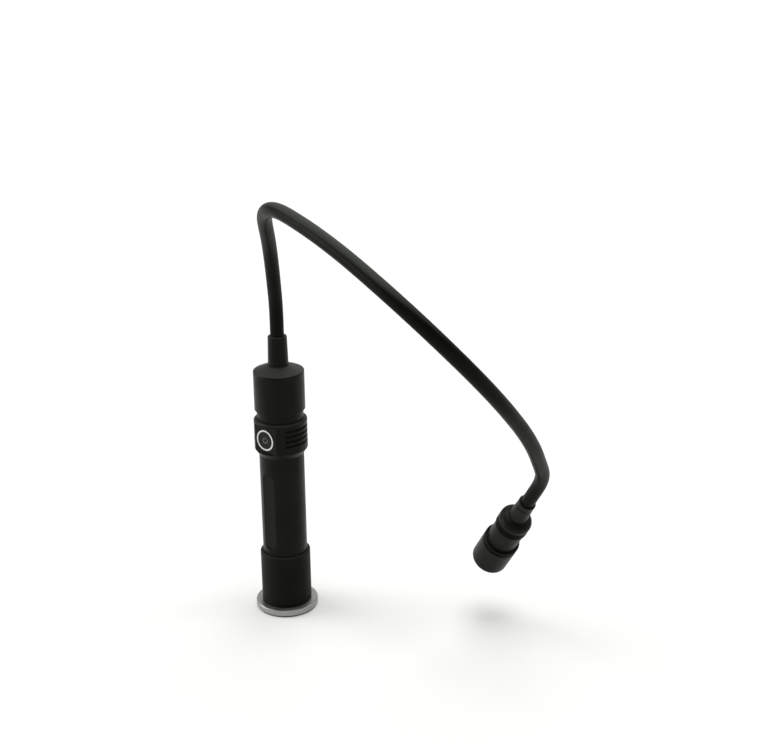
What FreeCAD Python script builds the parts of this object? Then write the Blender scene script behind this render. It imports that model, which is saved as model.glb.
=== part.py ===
import FreeCAD, Part
import math
import os
from FreeCAD import Vector, Rotation, Placement

# Battery torch on a steel disc, with a fibre gooseneck and a small focusing lamp head.
# Millimetres. +Z is up the torch, the switch faces -Y, and the origin is the middle
# of the disc's underside.

# Base disc and its adhesive pad
disc_diameter = 35.0
disc_thickness = 3.5
disc_chamfer = 0.4
pad_thickness = 0.5
pad_inset = 0.6

# Tail cap
cap_diameter = 28.0
cap_length = 31.0
cap_floor = 2.0
cap_edge = 0.8
cap_lip = 0.6
tail_seal_drop = 5.0
magnet_diameter = 18.0
magnet_thickness = 2.5

# Battery tube
tube_diameter = 24.8
tube_visible_length = 59.4
tube_bore = 19.2
spigot_diameter = 22.0
tail_spigot_length = 19.0
head_spigot_length = 3.6
head_seal_rise = 1.8
label_flat_depth = 0.7
label_flat_length = 46.0
label_flat_start = 3.5
label_corner_share = 0.9

# Cell and its contacts
cell_diameter = 18.4
cell_length = 69.0
cell_button_diameter = 7.0
cell_button_height = 1.2
board_thickness = 1.2
tail_board_diameter = 18.6
spring_wire = 0.9
tail_spring_diameter = 13.0
tail_spring_turns = 4
contact_spring_diameter = 6.4
contact_spring_turns = 3
contact_spring_height = 8.0

# Finned switch head
head_diameter = 29.3
head_length = 20.6
head_taper_height = 3.4
head_rim_chamfer = 0.8
head_web = 3.0
head_cavity_diameter = 18.0
fin_count = 4
fin_pitch = 2.9
fin_gap = 1.8
fin_flare = 0.25
fin_depth = 1.5
fin_top_margin = 3.9
fin_clear_angle = 104.0
facet_distance = 12.5
facet_top_margin = 1.5
facet_bottom_margin = 2.6
front_spigot_length = 9.0
front_spigot_diameter = 22.0
front_pocket_diameter = 19.0
wire_hole_diameter = 5.0
adaptor_seal_rise = 6.5

# Switch
switch_height = 10.8
bezel_diameter = 11.8
bezel_bore = 10.0
bezel_seat_depth = 1.1
bezel_proud = 0.5
button_flange = 0.9
button_flange_reach = 0.6
button_edge = 0.3
button_stem_diameter = 3.0
button_height = 4.0
button_travel = 0.7
button_recess = 0.2
tact_width = 6.0
tact_depth = 3.7
plunger_diameter = 2.8
plunger_length = 2.4
plunger_reach = 1.2
switch_board_width = 11.0
switch_board_height = 11.0
switch_board_thickness = 1.0

# Light engine
led_board_diameter = 18.8
led_board_thickness = 1.6
led_width = 3.6
led_height = 0.8
condenser_diameter = 17.0
condenser_height = 5.8
condenser_rim = 1.2
condenser_foot_share = 0.45
condenser_shoulder_share = 0.9
chip_recess_share = 0.75
retainer_height = 1.4
retainer_bore = 15.4

# Light-guide adaptor
adaptor_diameter = 27.8
adaptor_shoulder = 0.8
adaptor_skirt_diameter = 25.5
adaptor_skirt_length = 5.2
adaptor_body_length = 22.0
adaptor_cone_height = 3.2
adaptor_collar_diameter = 12.4
adaptor_collar_height = 0.3
sleeve_bottom_diameter = 11.2
sleeve_top_diameter = 10.4
sleeve_length = 16.1
sleeve_lip = 0.4
sleeve_seat_depth = 9.0
sleeve_seat_diameter = 9.6
ferrule_diameter = 7.0
ferrule_length = 14.0
light_way_height = 3.0

# Gooseneck
neck_diameter = 7.5
skin_wall = 0.8
hose_wall = 1.2
bundle_diameter = 3.2
neck_entry = 10.0
arc_share = 0.45
ball_radius = 4.3
ball_gap = 0.1
# Corner points of the neck's route, from the sleeve's top; the last run is the lamp's axis.
neck_route = [
    (0, 0, 0),
    (0, 0, 17),
    (11, -14.5, 52),
    (37, -48, 88),
    (90, -62.5, 78.5),
    (141.5, -69, 55.5),
    (162, -36.5, 14.5),
    (157.5, 5, -23.5),
    (144, 41, -59.5),
    (131, 46.5, -79),
]

# Lamp head, measured along its axis from the boot's top
boot_top_diameter = 9.4
boot_bottom_diameter = 10.6
boot_length = 14.3
boot_collar_height = 3.2
boot_groove_width = 0.5
boot_groove_depth = 0.3
boot_seat_depth = 5.0
boot_seat_diameter = 9.4
boot_lip = 0.4
lamp_diameter = 18.1
lamp_shoulder = 4.0
lamp_body_length = 10.4
lamp_grip_count = 5
lamp_spigot_diameter = 17.0
lamp_spigot_showing = 14.0
lamp_cavity_setback = 4.0
lamp_bore = 12.6
focus_diameter = 20.1
focus_length = 21.4
focus_edge = 1.4
focus_back = 5.0
focus_forward = 3.0
focus_hold = 7.2
focus_seal_setback = 2.5
focus_lip = 0.3
focus_grip_count = 3
grip_margin = 0.5
grip_pitch = 1.0
grip_groove_width = 0.5
grip_groove_depth = 0.3
lens_diameter = 15.0
lens_edge = 1.6
lens_bulge = 2.0
lens_setback = 2.6
lens_ring_height = 1.5
lens_ring_bore = 13.0
end_ferrule_diameter = 6.4
end_ferrule_length = 22.0

# Seals and clearances
seal_section = 1.2
running_clearance = 0.05
seat_clearance = 0.02
contact_gap = 0.05
edge_break = 0.25

# Heights that follow from the sizes above
disc_top = pad_thickness + disc_thickness
cap_top = disc_top + cap_length
head_bottom = cap_top + tube_visible_length
head_top = head_bottom + head_length
adaptor_bottom = head_top
cone_bottom = adaptor_bottom + adaptor_skirt_length + adaptor_body_length
cone_top = cone_bottom + adaptor_cone_height
sleeve_bottom = cone_top + adaptor_collar_height
sleeve_top = sleeve_bottom + sleeve_length
cap_inside = disc_top + magnet_thickness + cap_floor
tail_board_top = cap_inside + board_thickness
tube_bottom = cap_top - tail_spigot_length
tube_top = head_bottom + head_spigot_length
driver_bottom = tube_top
driver_top = driver_bottom + board_thickness
web_bottom = head_top - head_web
cell_top = driver_bottom - contact_spring_height
cell_bottom = cell_top - cell_length
led_board_top = head_top + led_board_thickness
condenser_top = led_board_top + condenser_height
spigot_top = head_top + front_spigot_length
switch_z = head_bottom + switch_height
boot_end = boot_length
lamp_end = boot_end + lamp_body_length
focus_start = lamp_end + lamp_spigot_showing
lamp_spigot_end = focus_start + focus_forward + focus_hold
focus_end = focus_start + focus_length
lens_front = focus_end - lens_setback
lens_back = lens_front - lens_edge
tail_seal_height = cap_top - tail_seal_drop
head_seal_height = head_bottom + head_seal_rise
adaptor_seal_height = head_top + adaptor_seal_rise
focus_seal_place = lamp_spigot_end - focus_seal_setback
focus_hole_end = lamp_spigot_end + focus_back + contact_gap

# Distances out along the switch's axis, from the torch's middle
bezel_seat = facet_distance - bezel_seat_depth
bezel_front = facet_distance + bezel_proud
button_front = bezel_front - button_recess
button_back = button_front - button_height
button_radius = bezel_bore / 2 - running_clearance
flange_radius = button_radius + button_flange_reach
plunger_front = button_back - plunger_reach
can_front = plunger_front - button_travel - contact_gap
can_back = can_front - tact_depth


def cylinder(radius, low, high):
    return Part.makeCylinder(radius, high - low, Vector(0, 0, low))


def ring(outer, inner, low, high):
    return cylinder(outer, low, high).cut(cylinder(inner, low - 1, high + 1))


def turned(points):
    """Solid of revolution about Z from (radius, height) corners."""
    corners = [Vector(r, 0, z) for r, z in points]
    face = Part.Face(Part.makePolygon(corners + corners[:1]))
    return face.revolve(Vector(0, 0, 0), Vector(0, 0, 1), 360)


def rim_edges(shape, radius, height):
    """Whole circles about Z with this radius at this height."""
    return [
        e for e in shape.Edges
        if e.isClosed()
        and abs(e.BoundBox.ZMin - height) < 0.01
        and abs(e.BoundBox.ZMax - height) < 0.01
        and abs(e.BoundBox.XMax - radius) < 0.01
    ]


def box(width, depth, height, middle):
    corner = middle - Vector(width / 2, depth / 2, height / 2)
    return Part.makeBox(width, depth, height, corner)


def seal(middle_radius, height):
    """O-ring of round section."""
    return Part.makeTorus(middle_radius, seal_section / 2, Vector(0, 0, height))


def seal_groove(shaft_radius, height):
    """Groove that leaves the O-ring level with the shaft around it."""
    half = seal_section / 2 + seat_clearance
    return ring(shaft_radius + 1, shaft_radius - 2 * half, height - half, height + half)


def coil(diameter, turns, low, high):
    """Open coil spring as one wire on quarter-turn arcs, between two heights."""
    radius = (diameter - spring_wire) / 2
    start = low + spring_wire / 2
    rise = (high - low - spring_wire) / turns

    def point(turn):
        angle = 2 * math.pi * turn
        return Vector(radius * math.cos(angle), radius * math.sin(angle), start + rise * turn)

    arcs = []
    for quarter in range(4 * turns):
        begin = quarter / 4
        arc = Part.Arc(point(begin), point(begin + 0.125), point(begin + 0.25))
        arcs.append(arc.toShape())
    path = Part.Wire(arcs)
    tangent = Vector(0, 2 * math.pi * radius, rise)
    section = Part.Wire(Part.makeCircle(spring_wire / 2, point(0), tangent))
    return path.makePipeShell([section], True, False)


def check(name, shape):
    if not shape.isValid() or shape.Volume <= 0:
        raise ValueError(name + " is not a sound solid")


def save(name, shape):
    check(name, shape)
    shape.exportStep(os.path.join("parts", name + ".step"))


# Base
def adhesive_pad():
    return cylinder(disc_diameter / 2 - pad_inset, 0, pad_thickness)


def base_disc():
    disc = cylinder(disc_diameter / 2, pad_thickness, disc_top)
    rims = [e for e in disc.Edges if e.isClosed()]
    return disc.makeChamfer(disc_chamfer, rims)


# Tail
def tail_cap():
    outer = cap_diameter / 2
    shell = turned([
        (0, disc_top),
        (outer - cap_edge, disc_top),
        (outer, disc_top + cap_edge),
        (outer, cap_top - cap_lip),
        (outer - cap_lip, cap_top),
        (0, cap_top),
    ])
    magnet_pocket = cylinder(
        magnet_diameter / 2 + seat_clearance, disc_top - 1, disc_top + magnet_thickness
    )
    bore = cylinder(spigot_diameter / 2 + running_clearance, tube_bottom, cap_top + 1)
    well = cylinder(tail_board_diameter / 2 + seat_clearance, cap_inside, tube_bottom + 1)
    return shell.cut(magnet_pocket).cut(bore).cut(well)


def tail_magnet():
    return cylinder(magnet_diameter / 2, disc_top, disc_top + magnet_thickness)


def tail_board():
    return cylinder(tail_board_diameter / 2, cap_inside, tail_board_top)


def tail_spring():
    return coil(tail_spring_diameter, tail_spring_turns, tail_board_top, cell_bottom - contact_gap)


# Battery tube
def battery_tube():
    spigot = spigot_diameter / 2
    tube = cylinder(tube_diameter / 2, cap_top, head_bottom)
    tube = tube.fuse(cylinder(spigot, tube_bottom, cap_top))
    tube = tube.fuse(cylinder(spigot, head_bottom, tube_top))
    tube = tube.cut(cylinder(tube_bore / 2, tube_bottom - 1, tube_top + 1))
    tube = tube.cut(seal_groove(spigot, tail_seal_height))
    tube = tube.cut(seal_groove(spigot, head_seal_height))
    return tube.cut(label_flat()).removeSplitter()


def label_flat():
    """Shallow flat with rounded ends on the side that faces the switch's way."""
    reach = tube_diameter / 2 - label_flat_depth
    half = math.sqrt((tube_diameter / 2) ** 2 - reach ** 2)
    low = cap_top + label_flat_start
    slab = box(
        2 * half, 4, label_flat_length,
        Vector(0, -reach - 2, low + label_flat_length / 2),
    )
    corners = [e for e in slab.Edges if abs(e.BoundBox.YLength - 4) < 0.01]
    return slab.makeFillet(label_corner_share * half, corners)


def battery_cell():
    body = cylinder(cell_diameter / 2, cell_bottom, cell_top - cell_button_height)
    button = cylinder(cell_button_diameter / 2, cell_top - cell_button_height, cell_top)
    return body.fuse(button).removeSplitter()


# Finned head
def finned_head():
    outer = head_diameter / 2
    waist = tube_diameter / 2
    spigot = front_spigot_diameter / 2
    head = turned([
        (0, head_bottom),
        (waist, head_bottom),
        (outer, head_bottom + head_taper_height),
        (outer, head_top - head_rim_chamfer),
        (outer - head_rim_chamfer, head_top),
        (spigot, head_top),
        (spigot, spigot_top),
        (0, spigot_top),
    ])
    head = head.cut(cylinder(spigot_diameter / 2 + running_clearance, head_bottom - 1, driver_top))
    head = head.cut(cylinder(head_cavity_diameter / 2, driver_top - 1, web_bottom))
    head = head.cut(cylinder(wire_hole_diameter / 2, web_bottom - 1, head_top + 1))
    head = head.cut(cylinder(front_pocket_diameter / 2, head_top, spigot_top + 1))
    head = head.cut(seal_groove(spigot, adaptor_seal_height))
    head = head.cut(facet_tool())
    for gap in range(fin_count):
        head = head.cut(fin_gap_tool(gap))
    return head.cut(switch_bore()).removeSplitter()


def facet_tool():
    low = head_bottom + facet_bottom_margin
    high = head_top - facet_top_margin
    return Part.makeBox(
        head_diameter, head_diameter, high - low,
        Vector(-head_diameter / 2, -facet_distance - head_diameter, low),
    )


def fin_gap_tool(index):
    """Gap between two cooling fins, flared outwards and left out on both sides of the switch."""
    middle = head_top - fin_top_margin - index * fin_pitch
    floor = head_diameter / 2 - fin_depth
    half = fin_gap / 2
    corners = [
        Vector(floor, 0, middle - half + fin_flare),
        Vector(floor + fin_depth, 0, middle - half),
        Vector(floor + 2 * fin_depth, 0, middle - half - fin_flare),
        Vector(floor + 2 * fin_depth, 0, middle + half + fin_flare),
        Vector(floor + fin_depth, 0, middle + half),
        Vector(floor, 0, middle + half - fin_flare),
    ]
    face = Part.Face(Part.makePolygon(corners + corners[:1]))
    gap = face.revolve(Vector(0, 0, 0), Vector(0, 0, 1), 360 - fin_clear_angle)
    gap.rotate(Vector(0, 0, 0), Vector(0, 0, 1), fin_clear_angle / 2 - 90)
    return gap


def across(radius, near, far):
    """Cylinder along the switch's axis, from one distance out to another."""
    return Part.makeCylinder(radius, far - near, Vector(0, -near, switch_z), Vector(0, -1, 0))


def switch_bore():
    seat = across(bezel_diameter / 2 + seat_clearance, bezel_seat, head_diameter)
    guide = across(flange_radius + 2 * running_clearance, 0, bezel_seat + 0.01)
    return seat.fuse(guide)


def switch_bezel():
    ring_blank = across(bezel_diameter / 2, bezel_seat, bezel_front)
    return ring_blank.cut(across(bezel_bore / 2, 0, head_diameter))


def switch_button():
    """Round cap held in by its flange, with a stem that meets the switch's plunger."""
    face = across(button_radius, button_back, button_front)
    front_edge = [e for e in face.Edges if e.isClosed() and abs(e.BoundBox.YMin + button_front) < 0.01]
    face = face.makeFillet(button_edge, front_edge)
    flange = across(flange_radius, bezel_seat - button_flange, bezel_seat)
    stem = across(button_stem_diameter / 2, plunger_front, button_back)
    return face.fuse(flange).fuse(stem).removeSplitter()


def tact_plunger():
    return across(plunger_diameter / 2, plunger_front - plunger_length, plunger_front)


def tact_switch():
    """Square can with a blind bore that the plunger travels in."""
    middle = Vector(0, -(can_back + can_front) / 2, switch_z)
    can = box(tact_width, tact_depth, tact_width, middle)
    bore_end = plunger_front - plunger_length - button_travel - contact_gap
    return can.cut(across(plunger_diameter / 2 + running_clearance, bore_end, can_front + 1))


def switch_board():
    """Upright board that stands on the driver board behind the switch."""
    middle = Vector(
        0, -(can_back - switch_board_thickness / 2), driver_top + switch_board_height / 2
    )
    return box(switch_board_width, switch_board_thickness, switch_board_height, middle)


def driver_board():
    return cylinder(spigot_diameter / 2, driver_bottom, driver_top)


def contact_spring():
    return coil(contact_spring_diameter, contact_spring_turns, cell_top, driver_bottom)


# Light engine
def led_board():
    return cylinder(led_board_diameter / 2, head_top, led_board_top)


def led_chip():
    middle = Vector(0, 0, led_board_top + led_height / 2)
    return box(led_width, led_width, led_height, middle)


def condenser_lens():
    """Collimator: a cone that stands on the board over the chip and widens to a flat rim."""
    outer = condenser_diameter / 2
    chip_recess = led_width * chip_recess_share
    return turned([
        (0, led_board_top + led_height + contact_gap),
        (chip_recess, led_board_top + led_height + contact_gap),
        (chip_recess, led_board_top),
        (outer * condenser_foot_share, led_board_top),
        (outer * condenser_shoulder_share, condenser_top - condenser_rim),
        (outer, condenser_top - condenser_rim),
        (outer, condenser_top),
        (0, condenser_top),
    ])


def lens_retainer():
    return ring(
        front_pocket_diameter / 2 - seat_clearance, retainer_bore / 2,
        condenser_top, condenser_top + retainer_height,
    )


# Light-guide adaptor
def adaptor_shell():
    outer = adaptor_diameter / 2
    skirt = adaptor_skirt_diameter / 2
    collar = adaptor_collar_diameter / 2
    body_bottom = adaptor_bottom + adaptor_skirt_length
    shell = turned([
        (0, adaptor_bottom),
        (skirt, adaptor_bottom),
        (skirt, body_bottom),
        (outer, body_bottom),
        (outer, cone_bottom),
        (collar, cone_top),
        (collar, sleeve_bottom),
        (0, sleeve_bottom),
    ])
    shell = shell.makeFillet(edge_break, rim_edges(shell, outer, body_bottom))
    shell = shell.makeFillet(adaptor_shoulder, rim_edges(shell, outer, cone_bottom))
    socket_end = spigot_top + seat_clearance
    socket = cylinder(
        front_spigot_diameter / 2 + running_clearance, adaptor_bottom - 1, socket_end
    )
    light_way = cylinder(retainer_bore / 2, spigot_top, spigot_top + light_way_height)
    seat_floor = sleeve_bottom - sleeve_seat_depth
    ferrule_bore = cylinder(ferrule_diameter / 2 + seat_clearance, spigot_top, seat_floor + 1)
    sleeve_seat = cylinder(
        sleeve_seat_diameter / 2 + seat_clearance, seat_floor, sleeve_bottom + 1
    )
    return shell.cut(socket).cut(light_way).cut(ferrule_bore).cut(sleeve_seat)


def adaptor_sleeve():
    """Tapered sleeve with a plug end that is fixed in the adaptor."""
    plug = sleeve_seat_diameter / 2
    plug_bottom = sleeve_bottom - sleeve_seat_depth
    sleeve = turned([
        (0, plug_bottom),
        (plug, plug_bottom),
        (plug, sleeve_bottom),
        (sleeve_bottom_diameter / 2, sleeve_bottom),
        (sleeve_top_diameter / 2, sleeve_top - sleeve_lip),
        (sleeve_top_diameter / 2 - sleeve_lip, sleeve_top),
        (0, sleeve_top),
    ])
    neck_bore = cylinder(neck_diameter / 2 + seat_clearance, sleeve_top - neck_entry, sleeve_top + 1)
    bundle_bore = cylinder(bundle_diameter / 2 + seat_clearance, plug_bottom - 1, sleeve_top)
    return sleeve.cut(neck_bore).cut(bundle_bore)


def bundle_ferrule():
    high = sleeve_bottom - sleeve_seat_depth
    return ring(
        ferrule_diameter / 2, bundle_diameter / 2 + seat_clearance, high - ferrule_length, high
    )


# Gooseneck route
def route_points():
    start = Vector(0, 0, sleeve_top)
    return [start + Vector(*p) for p in neck_route]


def station(index):
    """Bending station in the middle of a run, with the run's direction."""
    a, b = route_points()[index:index + 2]
    return (a + b) / 2, (b - a).normalize()


station_count = len(neck_route) - 3


def bend(index):
    """Reach along both runs and radius of the arc at one corner."""
    before, corner, after = route_points()[index - 1:index + 2]
    back = before - corner
    ahead = after - corner
    reach = arc_share * min(back.Length, ahead.Length)
    half_turn = (math.pi - back.getAngle(ahead)) / 2
    return reach, reach / math.tan(half_turn)


def corner_arc(index):
    """Tangent arc at a corner: its two ends and a point midway."""
    before, corner, after = route_points()[index - 1:index + 2]
    reach, radius = bend(index)
    back = (before - corner).normalize()
    ahead = (after - corner).normalize()
    middle_way = (back + ahead).normalize()
    to_centre = math.hypot(radius, reach)
    return (
        corner + back * reach,
        corner + middle_way * (to_centre - radius),
        corner + ahead * reach,
    )


def stretch_path(index):
    """Centre line of one stretch of neck, a little past the station at its far end."""
    points = route_points()
    if index == 0:
        first = points[0] - Vector(0, 0, neck_entry)
    else:
        first = station(index)[0]
    if index < station_count:
        place, way = station(index + 1)
        last = place + way * (ball_radius + 1)
    else:
        way = (points[-1] - points[-2]).normalize()
        last = points[-1] + way * neck_entry
    enter, middle, leave = corner_arc(index + 1)
    edges = [
        Part.LineSegment(first, enter).toShape(),
        Part.Arc(enter, middle, leave).toShape(),
        Part.LineSegment(leave, last).toShape(),
    ]
    return Part.Wire(edges), first


def swept(path, first, outer, inner):
    start_edge = path.Edges[0]
    tangent = start_edge.tangentAt(start_edge.FirstParameter)
    circle = Part.Wire(Part.makeCircle(outer, first, tangent))
    solid = path.makePipeShell([circle], True, False)
    if inner > 0:
        hole = Part.Wire(Part.makeCircle(inner, first, tangent))
        solid = solid.cut(path.makePipeShell([hole], True, False))
    return solid


def ball(radius, place, way):
    """Sphere whose poles and seam lie to the side of a tube that runs along a direction."""
    sphere = Part.makeSphere(radius)
    sphere.Placement = Placement(place, Rotation(Vector(0, 1, 0), way))
    return sphere


def neck_piece(index, outer, inner):
    """Stretch of tube: a cup at its near station and a ball end at its far one."""
    path, first = stretch_path(index)
    solid = swept(path, first, outer, inner)
    if index > 0:
        place, way = station(index)
        solid = solid.cut(ball(ball_radius + ball_gap, place, way))
    if index < station_count:
        place, way = station(index + 1)
        beyond = Part.makeCylinder(neck_diameter, ball_radius + 2, place, way)
        solid = solid.cut(beyond.cut(ball(ball_radius, place, way)))
    return solid


def neck_skin(index):
    return neck_piece(index, neck_diameter / 2, neck_diameter / 2 - skin_wall)


def neck_hose(index):
    outer = neck_diameter / 2 - skin_wall - seat_clearance
    return neck_piece(index, outer, outer - hose_wall)


def neck_bundle(index):
    return neck_piece(index, bundle_diameter / 2, 0)


# Lamp head, modelled upright from its boot's top and then laid along the neck's last run
def place_lamp(shape):
    points = route_points()
    way = (points[-1] - points[-2]).normalize()
    turn = Rotation(Vector(0, 0, 1), way)
    placed = shape.copy()
    placed.Placement = Placement(points[-1], turn)
    return placed


def grip_grooves(radius, low, count):
    """Even run of shallow grooves round a body, from its lowest one up."""
    floor = radius - grip_groove_depth
    first = ring(radius + 1, floor, low, low + grip_groove_width)
    grooves = [first.translated(Vector(0, 0, n * grip_pitch)) for n in range(count)]
    return Part.makeCompound(grooves)


def lamp_boot():
    """Tapered boot with a collar at its top, parted from the taper by a thin groove."""
    plug = boot_seat_diameter / 2
    plug_end = boot_end + boot_seat_depth
    collar = boot_top_diameter / 2
    groove_end = boot_collar_height + boot_groove_width
    boot = turned([
        (0, 0),
        (collar - boot_lip, 0),
        (collar, boot_lip),
        (collar, boot_collar_height),
        (collar - boot_groove_depth, boot_collar_height),
        (collar - boot_groove_depth, groove_end),
        (collar, groove_end),
        (boot_bottom_diameter / 2, boot_end),
        (plug, boot_end),
        (plug, plug_end),
        (0, plug_end),
    ])
    boot = boot.cut(cylinder(neck_diameter / 2 + seat_clearance, -1, neck_entry))
    return boot.cut(cylinder(end_ferrule_diameter / 2 + seat_clearance, 0, plug_end + 1))


def lamp_body():
    """Back piece with a grooved grip, and the long spigot that the focus sleeve slides on."""
    outer = lamp_diameter / 2
    spigot = lamp_spigot_diameter / 2
    body = turned([
        (0, boot_end),
        (outer, boot_end),
        (outer, lamp_end),
        (spigot, lamp_end),
        (spigot, lamp_spigot_end),
        (0, lamp_spigot_end),
    ])
    body = body.makeFillet(lamp_shoulder, rim_edges(body, outer, boot_end))
    body = body.makeFillet(edge_break, rim_edges(body, outer, lamp_end))
    grip_length = (lamp_grip_count - 1) * grip_pitch + grip_groove_width
    grip_start = lamp_end - grip_margin - grip_length
    body = body.cut(grip_grooves(outer, grip_start, lamp_grip_count))
    plug_end = boot_end + boot_seat_depth
    body = body.cut(cylinder(boot_seat_diameter / 2 + seat_clearance, boot_end - 1, plug_end))
    body = body.cut(cylinder(end_ferrule_diameter / 2 + seat_clearance, boot_end, lamp_end))
    light_start = plug_end + lamp_cavity_setback
    body = body.cut(cylinder(lamp_bore / 2, light_start, lamp_spigot_end + 1))
    return body.cut(seal_groove(spigot, focus_seal_place))


def focus_seal():
    return seal(lamp_spigot_diameter / 2 - seal_section / 2 - seat_clearance, focus_seal_place)


def focus_sleeve():
    """Front sleeve; the end of its hole meets the spigot when it is pushed right back."""
    outer = focus_diameter / 2
    spigot_hole = lamp_spigot_diameter / 2 + running_clearance
    grip_start = focus_start + focus_lip + grip_margin
    sleeve = turned([
        (0, focus_start),
        (outer - focus_lip, focus_start),
        (outer, focus_start + focus_lip),
        (outer, focus_end),
        (0, focus_end),
    ])
    sleeve = sleeve.makeFillet(focus_edge, rim_edges(sleeve, outer, focus_end))
    sleeve = sleeve.cut(grip_grooves(outer, grip_start, focus_grip_count))
    sleeve = sleeve.cut(cylinder(spigot_hole, focus_start - 1, focus_hole_end))
    sleeve = sleeve.cut(cylinder(lens_ring_bore / 2, focus_start, focus_end + 1))
    return sleeve.cut(cylinder(lens_diameter / 2 + seat_clearance, lens_back, focus_end + 1))


def lamp_lens():
    """Plano-convex lens with a cylindrical edge, bulging to the front."""
    edge = cylinder(lens_diameter / 2, lens_back, lens_front)
    rim = lens_ring_bore / 2
    radius = (rim ** 2 + lens_bulge ** 2) / (2 * lens_bulge)
    ball = Part.makeSphere(radius, Vector(0, 0, lens_front + lens_bulge - radius))
    dome = ball.common(cylinder(rim, lens_front, lens_front + lens_bulge + 1))
    return edge.fuse(dome).removeSplitter()


def lens_ring():
    inner = lens_ring_bore / 2 + 2 * running_clearance
    return ring(lens_diameter / 2, inner, lens_front, lens_front + lens_ring_height)


def end_ferrule():
    start = neck_entry
    return ring(
        end_ferrule_diameter / 2, bundle_diameter / 2 + seat_clearance,
        start, start + end_ferrule_length,
    )


pieces = {
    "adhesive_pad": adhesive_pad,
    "base_disc": base_disc,
    "tail_cap": tail_cap,
    "tail_magnet": tail_magnet,
    "tail_board": tail_board,
    "tail_spring": tail_spring,
    "tail_seal": lambda: seal(spigot_diameter / 2 - seal_section / 2, tail_seal_height),
    "battery_tube": battery_tube,
    "battery_cell": battery_cell,
    "head_seal": lambda: seal(spigot_diameter / 2 - seal_section / 2, head_seal_height),
    "finned_head": finned_head,
    "driver_board": driver_board,
    "contact_spring": contact_spring,
    "switch_bezel": switch_bezel,
    "switch_button": switch_button,
    "tact_plunger": tact_plunger,
    "tact_switch": tact_switch,
    "switch_board": switch_board,
    "led_board": led_board,
    "led_chip": led_chip,
    "condenser_lens": condenser_lens,
    "lens_retainer": lens_retainer,
    "adaptor_seal": lambda: seal(front_spigot_diameter / 2 - seal_section / 2, adaptor_seal_height),
    "adaptor_shell": adaptor_shell,
    "adaptor_sleeve": adaptor_sleeve,
    "bundle_ferrule": bundle_ferrule,
}
lamp_pieces = {
    "lamp_boot": lamp_boot,
    "lamp_body": lamp_body,
    "focus_seal": focus_seal,
    "focus_sleeve": focus_sleeve,
    "lamp_lens": lamp_lens,
    "lens_ring": lens_ring,
    "end_ferrule": end_ferrule,
}

os.makedirs("parts", exist_ok=True)
for name, make in pieces.items():
    save(name, make())
for name, make in lamp_pieces.items():
    save(name, place_lamp(make()))
for index in range(station_count + 1):
    save("neck_skin_" + str(index), neck_skin(index))
    save("neck_hose_" + str(index), neck_hose(index))
    save("neck_bundle_" + str(index), neck_bundle(index))
for corner in range(1, len(neck_route) - 1):
    print("neck bend", corner, "radius", round(bend(corner)[1], 1), "mm")
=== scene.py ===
# Fibre optic illuminator: a battery torch on a steel disc, a gooseneck and a focusing lamp head.
# Everything is in metres in the CAD's frame: +Z up the torch, the switch faces -Y.
import math

import bpy
import numpy as np
from mathutils import Matrix, Vector


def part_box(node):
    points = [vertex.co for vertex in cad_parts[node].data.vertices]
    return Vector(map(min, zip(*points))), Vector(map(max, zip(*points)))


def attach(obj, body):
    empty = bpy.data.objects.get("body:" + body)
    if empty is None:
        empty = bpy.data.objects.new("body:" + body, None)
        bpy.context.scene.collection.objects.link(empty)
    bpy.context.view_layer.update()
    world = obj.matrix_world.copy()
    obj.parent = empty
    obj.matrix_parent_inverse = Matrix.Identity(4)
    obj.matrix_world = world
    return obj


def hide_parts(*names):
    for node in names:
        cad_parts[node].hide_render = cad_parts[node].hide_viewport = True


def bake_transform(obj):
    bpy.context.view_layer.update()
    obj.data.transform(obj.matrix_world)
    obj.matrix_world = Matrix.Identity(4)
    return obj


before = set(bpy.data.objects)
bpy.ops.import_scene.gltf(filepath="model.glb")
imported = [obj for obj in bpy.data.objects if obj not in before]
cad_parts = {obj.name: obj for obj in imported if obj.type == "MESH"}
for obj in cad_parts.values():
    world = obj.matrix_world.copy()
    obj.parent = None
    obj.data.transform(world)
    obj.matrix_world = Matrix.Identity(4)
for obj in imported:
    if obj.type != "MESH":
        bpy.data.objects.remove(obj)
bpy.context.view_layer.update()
mm = 0.001


def say(text):
    print("scene:", text)


say("frame loaded")


def linear(hexColour):
    # sRGB hex to linear RGBA: below 0.04045 a twelfth of the value, above it a 2.4 power curve
    parts = [int(hexColour[i:i + 2], 16) / 255 for i in (1, 3, 5)]
    curved = [c / 12.92 if c <= 0.04045 else ((c + 0.055) / 1.055) ** 2.4 for c in parts]
    return (*curved, 1.0)


def addNode(tree, kind, inputs=None, **settings):
    # adds a node, sets it, and links every input that is given as another node's output
    node = tree.nodes.new(kind)
    for name, value in settings.items():
        setattr(node, name, value)
    for socket, value in (inputs or {}).items():
        if isinstance(value, bpy.types.NodeSocket):
            tree.links.new(value, node.inputs[socket])
        else:
            node.inputs[socket].default_value = value
    return node


def newMaterial(name):
    # a material with a bare Principled shader, its tree and its place coordinates
    material = bpy.data.materials.new(name)
    material.use_nodes = True
    tree = material.node_tree
    shader = tree.nodes["Principled BSDF"]
    place = addNode(tree, "ShaderNodeTexCoord").outputs["Object"]
    return material, tree, shader, place


def setShader(tree, shader, **values):
    # numbers are set on the shader's own sockets, other nodes' outputs are linked to them
    for name, value in values.items():
        socket = shader.inputs[name.replace("_", " ")]
        if isinstance(value, bpy.types.NodeSocket):
            tree.links.new(value, socket)
        else:
            socket.default_value = value


def noise(tree, place, size, detail=2.0, roughness=0.5):
    # random pattern with blobs about as large as the size
    return addNode(tree, "ShaderNodeTexNoise", {
        "Vector": place, "Scale": 1 / size, "Detail": detail, "Roughness": roughness,
    }).outputs["Fac"]


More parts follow.
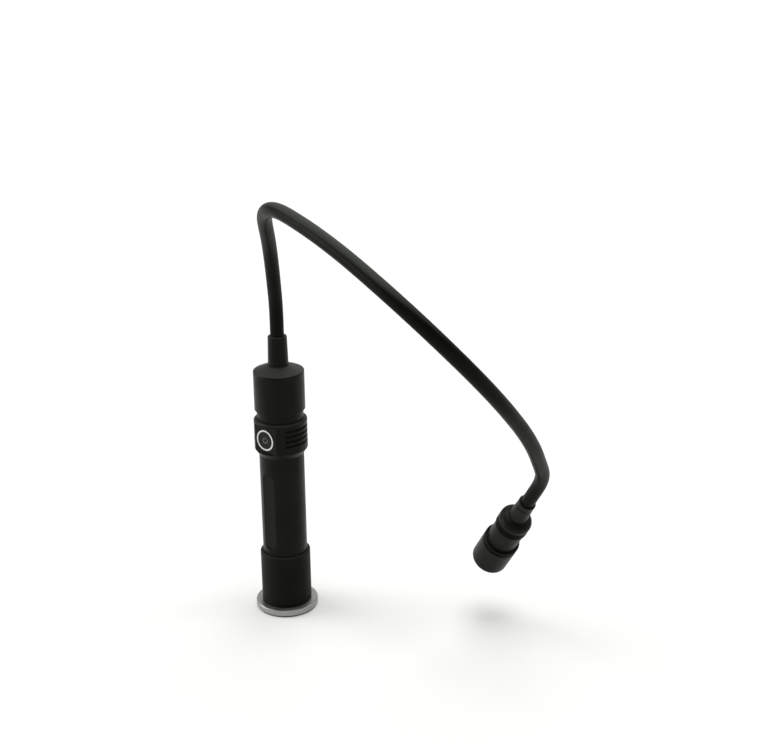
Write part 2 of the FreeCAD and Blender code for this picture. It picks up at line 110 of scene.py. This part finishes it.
def spread(tree, source, atLow, atHigh, low=0.3, high=0.7):
    # number that goes from one value to the other while the source goes from low to high;
    # noise lies mostly between 0.3 and 0.7
    return addNode(tree, "ShaderNodeMapRange", {
        "Value": source, "From Min": low, "From Max": high, "To Min": atLow, "To Max": atHigh,
    }).outputs["Result"]


def relief(tree, height, strength, depth):
    # relief too fine to model, as a bend of the surface's normal
    return addNode(tree, "ShaderNodeBump", {
        "Height": height, "Strength": strength, "Distance": depth}).outputs["Normal"]


def ramp(tree, source, low, high, lowColour, highColour):
    # colour that goes from one to the other while the source goes from low to high
    node = addNode(tree, "ShaderNodeValToRGB", {"Fac": source})
    first, last = node.color_ramp.elements
    first.position, last.position = low, high
    first.color, last.color = lowColour, highColour
    return node.outputs["Color"]


def meshFromGrid(name, points, normals, material):
    # grid of rings by points round each ring; neighbouring rings are joined by quads and the two
    # ends are closed; the normals are given, so that two pieces that meet shade as one
    rings, count, _ = points.shape
    here = np.arange(rings * count).reshape(rings, count)
    ahead = np.roll(here, -1, axis=1)
    quads = np.stack([here[:-1], ahead[:-1], ahead[1:], here[1:]], axis=-1).reshape(-1, 4)
    ends = [here[0, ::-1].tolist(), here[-1].tolist()]
    mesh = bpy.data.meshes.new(name)
    mesh.from_pydata(points.reshape(-1, 3), [], quads.tolist() + ends)
    mesh.polygons.foreach_set("use_smooth", np.ones(len(quads) + 2, bool))
    mesh.update()
    mesh.normals_split_custom_set_from_vertices(normals.reshape(-1, 3))
    mesh.materials.append(material)
    piece = bpy.data.objects.new(name, mesh)
    bpy.context.scene.collection.objects.link(piece)
    return piece


# hard-anodised aluminium; bands of the lamp's grips are given along its axis from the boot's top
# each finish also gives its share of painted light: how far faces that look up are painted paler
anodised = {
    "barrelAnodised": dict(
        colour="#090a08", rubbed="#0f100e", roughness=0.36, spread=0.07, shine=0.1,
        grain=0.5 * mm, smudge=14 * mm, bump=0.05 * mm, topLightShare=0.48,
    ),
    "capAnodised": dict(
        colour="#0b0c0a", rubbed="#10110f", roughness=0.52, spread=0.07, shine=0.08,
        grain=0.6 * mm, smudge=16 * mm, bump=0.08 * mm, topLightShare=0.3,
    ),
    "lampAnodised": dict(
        colour="#0c0e0c", rubbed="#131512", roughness=0.42, spread=0.06, shine=0.1,
        grain=0.5 * mm, smudge=9 * mm, bump=0.05 * mm, topLightShare=0.05, gripShare=0.3,
        gripBands=((19.7 * mm, 24.2 * mm), (39.5 * mm, 42.0 * mm)),
    ),
}
metals = {
    "discSteel": dict(colour="#a9aaa6", roughness=0.4, pitch=0.5 * mm, depth=0.05 * mm),
    "magnetNickel": dict(colour="#c3c2bb", roughness=0.22, pitch=0.9 * mm, depth=0.01 * mm),
    "bezelSteel": dict(
        colour="#d6d6d2", roughness=0.34, pitch=0.4 * mm, depth=0.02 * mm, along="Y",
        centre=tuple(sum(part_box("switch_bezel"), Vector()) / 2),
    ),
    "hoseSteel": dict(colour="#9b9c9a", roughness=0.4, pitch=0.7 * mm, depth=0.03 * mm),
    "springGold": dict(colour="#d9b45a", roughness=0.25, pitch=0.6 * mm, depth=0.01 * mm),
    "ledCore": dict(colour="#d8dadb", roughness=0.45, pitch=0.8 * mm, depth=0.01 * mm),
}
# as above, a share of painted light paints faces that look up paler
rubbers = {
    "skinRubber": dict(
        colour="#090a08", bloomed="#0f100d", roughness=0.4, grain=0.7 * mm, bump=0.06 * mm,
        shine=0.055, topLightShare=0.85,
    ),
    "bootRubber": dict(
        colour="#141513", bloomed="#1d1e1a", roughness=0.42, grain=0.5 * mm, bump=0.03 * mm,
        shine=0.12,
    ),
    "sealRubber": dict(
        colour="#141414", bloomed="#1e1e1e", roughness=0.5, grain=0.5 * mm, bump=0.02 * mm),
    "padFoam": dict(
        colour="#171817", bloomed="#232423", roughness=0.85, grain=0.6 * mm, bump=0.15 * mm),
    "buttonRubber": dict(
        colour="#0e100d", bloomed="#161814", roughness=0.5, grain=0.5 * mm, bump=0.03 * mm,
        shine=0.15,
    ),
    "switchPlastic": dict(
        colour="#26272a", bloomed="#313236", roughness=0.45, grain=0.5 * mm, bump=0.02 * mm),
    "markPaint": dict(
        colour="#6f716d", bloomed="#7f817c", roughness=0.5, grain=0.3 * mm, bump=0.01 * mm),
}
# the sheen is a little yellow-green; painted light on upward faces starts and is full at these
# heights of a face's normal
sheenTint = linear("#f6fbe9")
topLightPaint = dict(colour="#454742", low=0.5, high=0.95)


def paintTopLight(tree, bareColour, share):
    # faces that look up are painted paler, as painted light from above
    normal = addNode(tree, "ShaderNodeNewGeometry").outputs["Normal"]
    upward = addNode(tree, "ShaderNodeSeparateXYZ", {"Vector": normal}).outputs["Z"]
    amount = spread(tree, upward, 0.0, share, topLightPaint["low"], topLightPaint["high"])
    return addNode(tree, "ShaderNodeMixRGB", {
        "Fac": amount, "Color1": bareColour, "Color2": linear(topLightPaint["colour"]),
    }).outputs["Color"]


def anodisedAluminium(name, look):
    # turned and bead-blasted: near black, a satin sheen that is uneven where hands have rubbed
    # it, and a fine even grain (0.1 mm in life, drawn coarser to show)
    material, tree, shader, place = newMaterial(name)
    smudge = noise(tree, place, look["smudge"], detail=5.0, roughness=0.6)
    grain = noise(tree, place, look["grain"])
    bareColour = ramp(tree, smudge, 0.35, 0.75, linear(look["colour"]), linear(look["rubbed"]))
    setShader(
        tree, shader,
        # painted light: faces that look up are painted paler than the metal's own colour
        Base_Color=paintTopLight(tree, bareColour, look["topLightShare"]),
        Roughness=spread(tree, smudge, look["roughness"] + look["spread"],
                         look["roughness"] - look["spread"]),
        Normal=relief(tree, grain, 0.25, look["bump"]),
        Specular_IOR_Level=look["shine"], Specular_Tint=sheenTint,
    )
    return material


def gripped(material, look, start, way):
    # the grooves of a grip, too narrow to see one by one, swallow the light: within each band
    # the sheen falls to a share of what it was
    tree = material.node_tree
    place = addNode(tree, "ShaderNodeTexCoord").outputs["Object"]
    moved = addNode(tree, "ShaderNodeVectorMath", {
        0: place, 1: tuple(start)}, operation="SUBTRACT")
    along = addNode(tree, "ShaderNodeVectorMath", {
        0: moved.outputs["Vector"], 1: tuple(way)}, operation="DOT_PRODUCT").outputs["Value"]
    inside = 0.0
    for low, high in look["gripBands"]:
        band = addNode(tree, "ShaderNodeMath", {
            0: along, 1: (low + high) / 2, 2: (high - low) / 2}, operation="COMPARE")
        inside = addNode(tree, "ShaderNodeMath", {
            0: band.outputs[0], 1: inside}, operation="ADD").outputs[0]
    sheen = spread(tree, inside, look["shine"], look["shine"] * look["gripShare"], 0.0, 1.0)
    setShader(tree, tree.nodes["Principled BSDF"], Specular_IOR_Level=sheen)


def turnedMetal(name, colour, roughness, pitch, depth, centre=(0, 0, 0), along="Z"):
    # metal faced on a lathe: rings at the tool's feed round the axis, and bright metal between
    groove, wear, polished, dulled = 0.72, 9 * mm, 0.85, 1.2
    material, tree, shader, place = newMaterial(name)
    moved = addNode(tree, "ShaderNodeMapping", {
        "Vector": place, "Location": tuple(-c for c in centre)})
    parts = addNode(tree, "ShaderNodeSeparateXYZ", {"Vector": moved.outputs["Vector"]})
    first, second = [
        addNode(tree, "ShaderNodeMath", {0: parts.outputs[a], 1: 2.0}, operation="POWER")
        for a in "XYZ" if a != along
    ]
    total = addNode(tree, "ShaderNodeMath", {
        0: first.outputs[0], 1: second.outputs[0]}, operation="ADD")
    radius = addNode(tree, "ShaderNodeMath", {0: total.outputs[0]}, operation="SQRT")
    spiral = addNode(tree, "ShaderNodeCombineXYZ", {
        "X": radius.outputs[0], "Y": parts.outputs[along]})
    tool = noise(tree, spiral.outputs["Vector"], pitch, detail=3.0, roughness=0.7)
    bright = linear(colour)
    dark = (*(c * groove for c in bright[:3]), 1.0)
    setShader(
        tree, shader,
        Base_Color=ramp(tree, tool, 0.3, 0.7, dark, bright),
        Roughness=spread(tree, noise(tree, place, wear, detail=4.0),
                         roughness * polished, roughness * dulled),
        Normal=relief(tree, tool, 0.4, depth),
        Metallic=1.0,
    )
    return material


def mouldedRubber(name, colour, bloomed, roughness, grain, bump, shine=0.3, topLightShare=0.0):
    # moulded rubber or soft plastic: dull black, paler where bloom and skin grease sit on it
    patch, greased, dry = 11 * mm, 0.06, 0.08
    material, tree, shader, place = newMaterial(name)
    bloom = noise(tree, place, patch, detail=6.0, roughness=0.65)
    bareColour = ramp(tree, bloom, 0.35, 0.75, linear(colour), linear(bloomed))
    setShader(
        tree, shader,
        # painted light: faces that look up are painted paler than the rubber's own colour
        Base_Color=paintTopLight(tree, bareColour, topLightShare),
        Roughness=spread(tree, bloom, roughness - greased, roughness + dry),
        Normal=relief(tree, noise(tree, place, grain, detail=3.0), 0.3, bump),
        Specular_IOR_Level=shine, Specular_Tint=sheenTint,
    )
    return material


def boardGreen(name, tile=4 * mm, gap=0.012):
    # circuit board: solder mask over copper, paler where the tracks run under it
    material, tree, shader, place = newMaterial(name)
    tracks = addNode(tree, "ShaderNodeTexBrick", {
        "Vector": place, "Scale": 1 / tile, "Mortar Size": gap,
        "Color1": linear("#1d5b3c"), "Color2": linear("#236a47"), "Mortar": linear("#8fae76")})
    setShader(tree, shader, Base_Color=tracks.outputs["Color"], Roughness=0.35, Coat_Weight=0.4)
    return material


def cellWrap(name, wave=6 * mm, depth=0.1 * mm):
    # shrink-wrapped cell: smooth tinted film with faint shrink waves
    material, tree, shader, place = newMaterial(name)
    waves = noise(tree, place, wave)
    setShader(
        tree, shader, Roughness=0.3, Normal=relief(tree, waves, 0.2, depth),
        Base_Color=ramp(tree, waves, 0.3, 0.7, linear("#2f5f8c"), linear("#3d74a6")))
    return material


def fibreBundle(name, fibre=0.3 * mm):
    # glass fibres, polished together at the end: pale dots of 0.05 mm, drawn at 0.3 mm
    material, tree, shader, place = newMaterial(name)
    dots = addNode(tree, "ShaderNodeTexVoronoi", {"Vector": place, "Scale": 1 / fibre})
    tone = ramp(tree, dots.outputs["Distance"], 0.25, 0.6, linear("#e9eef0"), linear("#6d7477"))
    setShader(tree, shader, Base_Color=tone, Roughness=0.25, IOR=1.52)
    return material


def clearGlass(name, patch=5 * mm, polished=0.01, hazy=0.05):
    # ground and polished crown glass: clear, with a trace of cleaning haze
    material, tree, shader, place = newMaterial(name)
    haze = noise(tree, place, patch, detail=4.0)
    setShader(
        tree, shader, Base_Color=linear("#f6fbfa"), IOR=1.52, Transmission_Weight=1.0,
        Roughness=spread(tree, haze, polished, hazy, 0.4, 0.8))
    return material


def ledPhosphor(name, mottle=0.4 * mm):
    # phosphor layer of a white light-emitting diode: chalky yellow, a little mottled
    material, tree, shader, place = newMaterial(name)
    tone = ramp(tree, noise(tree, place, mottle), 0.3, 0.7, linear("#e2c63c"), linear("#f0dc6a"))
    setShader(tree, shader, Base_Color=tone, Roughness=0.6)
    return material


finishes = {
    "boardMask": boardGreen("boardMask"),
    "wrapFilm": cellWrap("wrapFilm"),
    "fibreGlass": fibreBundle("fibreGlass"),
    "crownGlass": clearGlass("crownGlass"),
    "phosphor": ledPhosphor("phosphor"),
}
finishes.update((name, anodisedAluminium(name, look)) for name, look in anodised.items())
finishes.update((name, turnedMetal(name, **look)) for name, look in metals.items())
finishes.update((name, mouldedRubber(name, **look)) for name, look in rubbers.items())
nodeFinish = {
    "barrelAnodised": ["battery_tube", "finned_head", "adaptor_shell", "adaptor_sleeve",
                       "lens_retainer"],
    "lampAnodised": ["lamp_body", "focus_sleeve", "lens_ring"],
    "bootRubber": ["lamp_boot"],
    "capAnodised": ["tail_cap"],
    "discSteel": ["base_disc"],
    "magnetNickel": ["tail_magnet", "tail_spring", "bundle_ferrule", "end_ferrule"],
    "bezelSteel": ["switch_bezel"],
    "springGold": ["contact_spring"],
    "ledCore": ["led_board"],
    "sealRubber": ["tail_seal", "head_seal", "adaptor_seal", "focus_seal"],
    "padFoam": ["adhesive_pad"],
    "buttonRubber": ["switch_button"],
    "switchPlastic": ["tact_switch", "tact_plunger"],
    "boardMask": ["tail_board", "driver_board", "switch_board"],
    "wrapFilm": ["battery_cell"],
    "crownGlass": ["condenser_lens", "lamp_lens"],
    "phosphor": ["led_chip"],
}
stretches = range(8)
nodeFinish["fibreGlass"] = ["neck_bundle_%d" % i for i in stretches]
nodeFinish["hoseSteel"] = ["neck_hose_%d" % i for i in stretches]
nodeFinish["skinRubber"] = ["neck_skin_%d" % i for i in stretches]
for finish, names in nodeFinish.items():
    for node in names:
        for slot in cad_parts[node].material_slots:
            slot.material = finishes[finish]
say("finishes on the CAD nodes")


neck = dict(
    radius=3.75 * mm, hose=2.9 * mm, entry=8 * mm, share=0.45, arcSteps=24, step=0.6 * mm,
    evening=16 * mm, around=40, softReach=18 * mm,
)
# corners of the CAD's route, in millimetres from the sleeve's top
neckRoute = np.array([
    (0, 0, 0), (0, 0, 17), (11, -14.5, 52), (37, -48, 88), (90, -62.5, 78.5),
    (141.5, -69, 55.5), (162, -36.5, 14.5), (157.5, 5, -23.5), (144, 41, -59.5),
    (131, 46.5, -79),
]) * mm + np.array([0, 0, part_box("adaptor_sleeve")[1].z])


def unit(vector):
    # each vector divided by its own length
    return vector / np.linalg.norm(vector, axis=-1, keepdims=True)


def neckLine(corners):
    # straight runs joined by arcs that start a set share of the shorter run from each corner,
    # sampled evenly, then evened with a raised-cosine mean so that each bend eases into the next
    first = corners[0] - unit(corners[1] - corners[0]) * (neck["entry"] + neck["evening"])
    last = corners[-1] + unit(corners[-1] - corners[-2]) * (neck["entry"] + neck["evening"])
    line = [first]
    for before, corner, after in zip(corners[:-2], corners[1:-1], corners[2:]):
        shorter = min(np.linalg.norm(corner - before), np.linalg.norm(after - corner))
        reach = neck["share"] * shorter
        back, ahead = unit(before - corner), unit(after - corner)
        turn = math.pi - math.acos(float(back @ ahead))
        radius = reach / math.tan(turn / 2)
        centre = corner + unit(back + ahead) * math.hypot(radius, reach)
        start = corner + back * reach - centre
        side = -back * radius
        angle = np.linspace(0, turn, neck["arcSteps"])[:, None]
        line.extend(centre + start * np.cos(angle) + side * np.sin(angle))
    line.append(last)
    line = np.array(line)
    walked = np.concatenate([[0], np.cumsum(np.linalg.norm(np.diff(line, axis=0), axis=1))])
    even = np.arange(0, walked[-1], neck["step"])
    points = np.stack([np.interp(even, walked, line[:, i]) for i in range(3)], axis=1)
    width = int(neck["evening"] / neck["step"]) | 1
    window = 0.5 - 0.5 * np.cos(2 * np.pi * (np.arange(width) + 0.5) / width)
    window /= window.sum()
    return np.stack([np.convolve(points[:, i], window, "valid") for i in range(3)], axis=1)


def tubeRings(line, radius):
    # circles square to the line: the first side vector is carried along by taking out of it,
    # at every step, its part along the line
    ways = unit(np.gradient(line, axis=0))
    side = np.cross(ways[0], (0.0, 1.0, 0.0))
    sides = []
    for way in ways:
        side = unit(side - way * (side @ way))
        sides.append(side)
    sides = np.array(sides)
    uprights = np.cross(ways, sides)
    angle = np.linspace(0, 2 * math.pi, neck["around"], endpoint=False)[None, :, None]
    normals = sides[:, None] * np.cos(angle) + uprights[:, None] * np.sin(angle)
    return line[:, None] + normals * radius, normals


def nearest(line, point):
    # index of the line's point at the least distance
    return int(np.argmin(np.linalg.norm(line - point, axis=1)))


def gooseneck():
    # piece k spans bending station k, from the middle of one stretch to the middle of the next
    line = neckLine(neckRoute)
    skin, skinNormals = tubeRings(line, neck["radius"])
    hose, hoseNormals = tubeRings(line, neck["hose"])
    cuts = [0] + [nearest(line, corner) for corner in neckRoute[2:-2]] + [len(line) - 1]
    for k in range(1, 8):
        part = slice(cuts[k - 1], cuts[k] + 1)
        layers = [
            ("gooseneckSkin%d" % k, skin, skinNormals, "skinRubber", "skin_rubber", "neck_skin"),
            ("gooseneckHose%d" % k, hose, hoseNormals, "hoseSteel", "hose_steel", "neck_hose"),
        ]
        for name, rings, normals, finish, slot, node in layers:
            piece = meshFromGrid(name, rings[part], normals[part], finishes[finish])
            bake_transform(piece)
            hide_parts("%s_%d" % (node, k - 1), "%s_%d" % (node, k))


gooseneck()
say("gooseneck")
lampWay = unit(neckRoute[-1] - neckRoute[-2])
gripped(finishes["lampAnodised"], anodised["lampAnodised"], neckRoute[-1], lampWay)
say("lamp grips")


mark = dict(
    radius=1.55 * mm, gap=34, halfStroke=0.2 * mm, proud=0.04 * mm, barLow=0.35 * mm,
    barHigh=1.95 * mm, steps=48, barSteps=16, around=12, tip=0.001,
)


def markStroke(name, path):
    # flat bead along a path on the button's face: an ellipse of half the stroke by the height
    # it stands proud, times sqrt(1 - u^4) along the path so that both ends are rounded
    ways = unit(np.gradient(path, axis=0))
    outward = np.array([0.0, -1.0, 0.0])
    sides = np.cross(outward, ways)
    u = np.linspace(-1, 1, len(path))
    size = np.sqrt(np.clip(1 - u ** 4, mark["tip"], 1))[:, None, None]
    angle = np.linspace(0, 2 * math.pi, mark["around"], endpoint=False)[None, :, None]
    normals = sides[:, None] * np.cos(angle) + outward * np.sin(angle)
    offset = (sides[:, None] * np.cos(angle) * mark["halfStroke"]
              + outward * np.sin(angle) * mark["proud"]) * size
    piece = meshFromGrid(name, path[:, None] + offset, normals, finishes["markPaint"])
    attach(piece, "button")


def switchMark():
    # common on-off mark: a ring that is open at the top, and a short bar in the opening
    low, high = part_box("switch_button")
    centre = np.array([(low.x + high.x) / 2, low.y, (low.z + high.z) / 2])
    gap = math.radians(mark["gap"])
    angle = np.linspace(gap, 2 * math.pi - gap, mark["steps"])
    across = np.stack([np.sin(angle), np.zeros_like(angle), np.cos(angle)], axis=1)
    markStroke("switchMarkRing", centre + across * mark["radius"])
    height = np.linspace(mark["barLow"], mark["barHigh"], mark["barSteps"])[:, None]
    markStroke("switchMarkBar", centre + height * np.array([0.0, 0.0, 1.0]))


studio = dict(
    floor="#f4f4f2", floorReach=12.0, world=0.3, cameraPlace=(0.46932, -0.50584, 0.38802),
    turn=38.0, pitch=19.83, roll=-0.581, lens=62.87, sensor=36.0, near=0.01, far=50.0,
)
# name, where the light comes from, strength, spread in degrees
skyPanels = [
    ("overhead", (0.02, 0.04, 1.0), 1.5, 40),
    ("backWash", (-0.25, 0.8, 0.62), 0.5, 50),
    ("leftKey", (-0.84, -0.25, 0.75), 0.75, 35),
    ("rearRim", (0.64, 0.68, 0.6), 0.35, 30),
    ("leftGlow", (-0.76, -0.64, 0.1), 2.2, 40),
]


def skyPanel(name, fromWay, strength, width):
    # a far, wide panel: lights the sweep evenly all over, and spreads its highlights
    light = bpy.data.lights.new(name, "SUN")
    light.energy, light.angle = strength, math.radians(width)
    lamp = bpy.data.objects.new(name, light)
    lamp.rotation_euler = Vector(fromWay).to_track_quat("Z", "Y").to_euler()
    bpy.context.scene.collection.objects.link(lamp)


def floorAndWorld():
    # paper sweep: pale and dull, so that it keeps the shadow and runs into the white behind
    reach = studio["floorReach"]
    mesh = bpy.data.meshes.new("floor")
    mesh.from_pydata(
        [(-reach, -reach, 0), (reach, -reach, 0), (reach, reach, 0), (-reach, reach, 0)],
        [], [(0, 1, 2, 3)])
    floor = bpy.data.objects.new("floor", mesh)
    bpy.context.scene.collection.objects.link(floor)
    material, tree, shader, _ = newMaterial("paperSweep")
    setShader(
        tree, shader, Base_Color=linear(studio["floor"]), Roughness=0.9, Specular_IOR_Level=0.1)
    mesh.materials.append(material)
    world = bpy.data.worlds.new("studio")
    world.use_nodes = True
    tree = world.node_tree
    tree.nodes.clear()
    rays = addNode(tree, "ShaderNodeLightPath")
    strength = spread(tree, rays.outputs["Is Camera Ray"], studio["world"], 1.0, 0.0, 1.0)
    glow = addNode(tree, "ShaderNodeBackground", {"Color": (1, 1, 1, 1), "Strength": strength})
    addNode(tree, "ShaderNodeOutputWorld", {"Surface": glow.outputs[0]})
    bpy.context.scene.world = world


def camera():
    # turned about Z from looking along +Y, then looking down by the pitch and tilted by the roll
    turn, pitch, roll = (math.radians(studio[k]) for k in ("turn", "pitch", "roll"))
    right = Vector((math.cos(turn), math.sin(turn), 0))
    level = Vector((-math.sin(turn), math.cos(turn), 0))
    ahead = level * math.cos(pitch) - Vector((0, 0, math.sin(pitch)))
    down = ahead.cross(right)
    x = right * math.cos(roll) - down * math.sin(roll)
    y = -(right * math.sin(roll) + down * math.cos(roll))
    data = bpy.data.cameras.new("camera")
    data.sensor_fit, data.sensor_width = "HORIZONTAL", studio["sensor"]
    data.lens, data.clip_start, data.clip_end = studio["lens"], studio["near"], studio["far"]
    view = bpy.data.objects.new("camera", data)
    axes = Matrix((x, y, -ahead)).transposed().to_4x4()
    view.matrix_world = Matrix.Translation(studio["cameraPlace"]) @ axes
    bpy.context.scene.collection.objects.link(view)
    bpy.context.scene.camera = view


switchMark()
say("switch mark")
floorAndWorld()
camera()
for panel in skyPanels:
    skyPanel(*panel)
bpy.context.scene.view_settings.view_transform = "Standard"
say("studio")
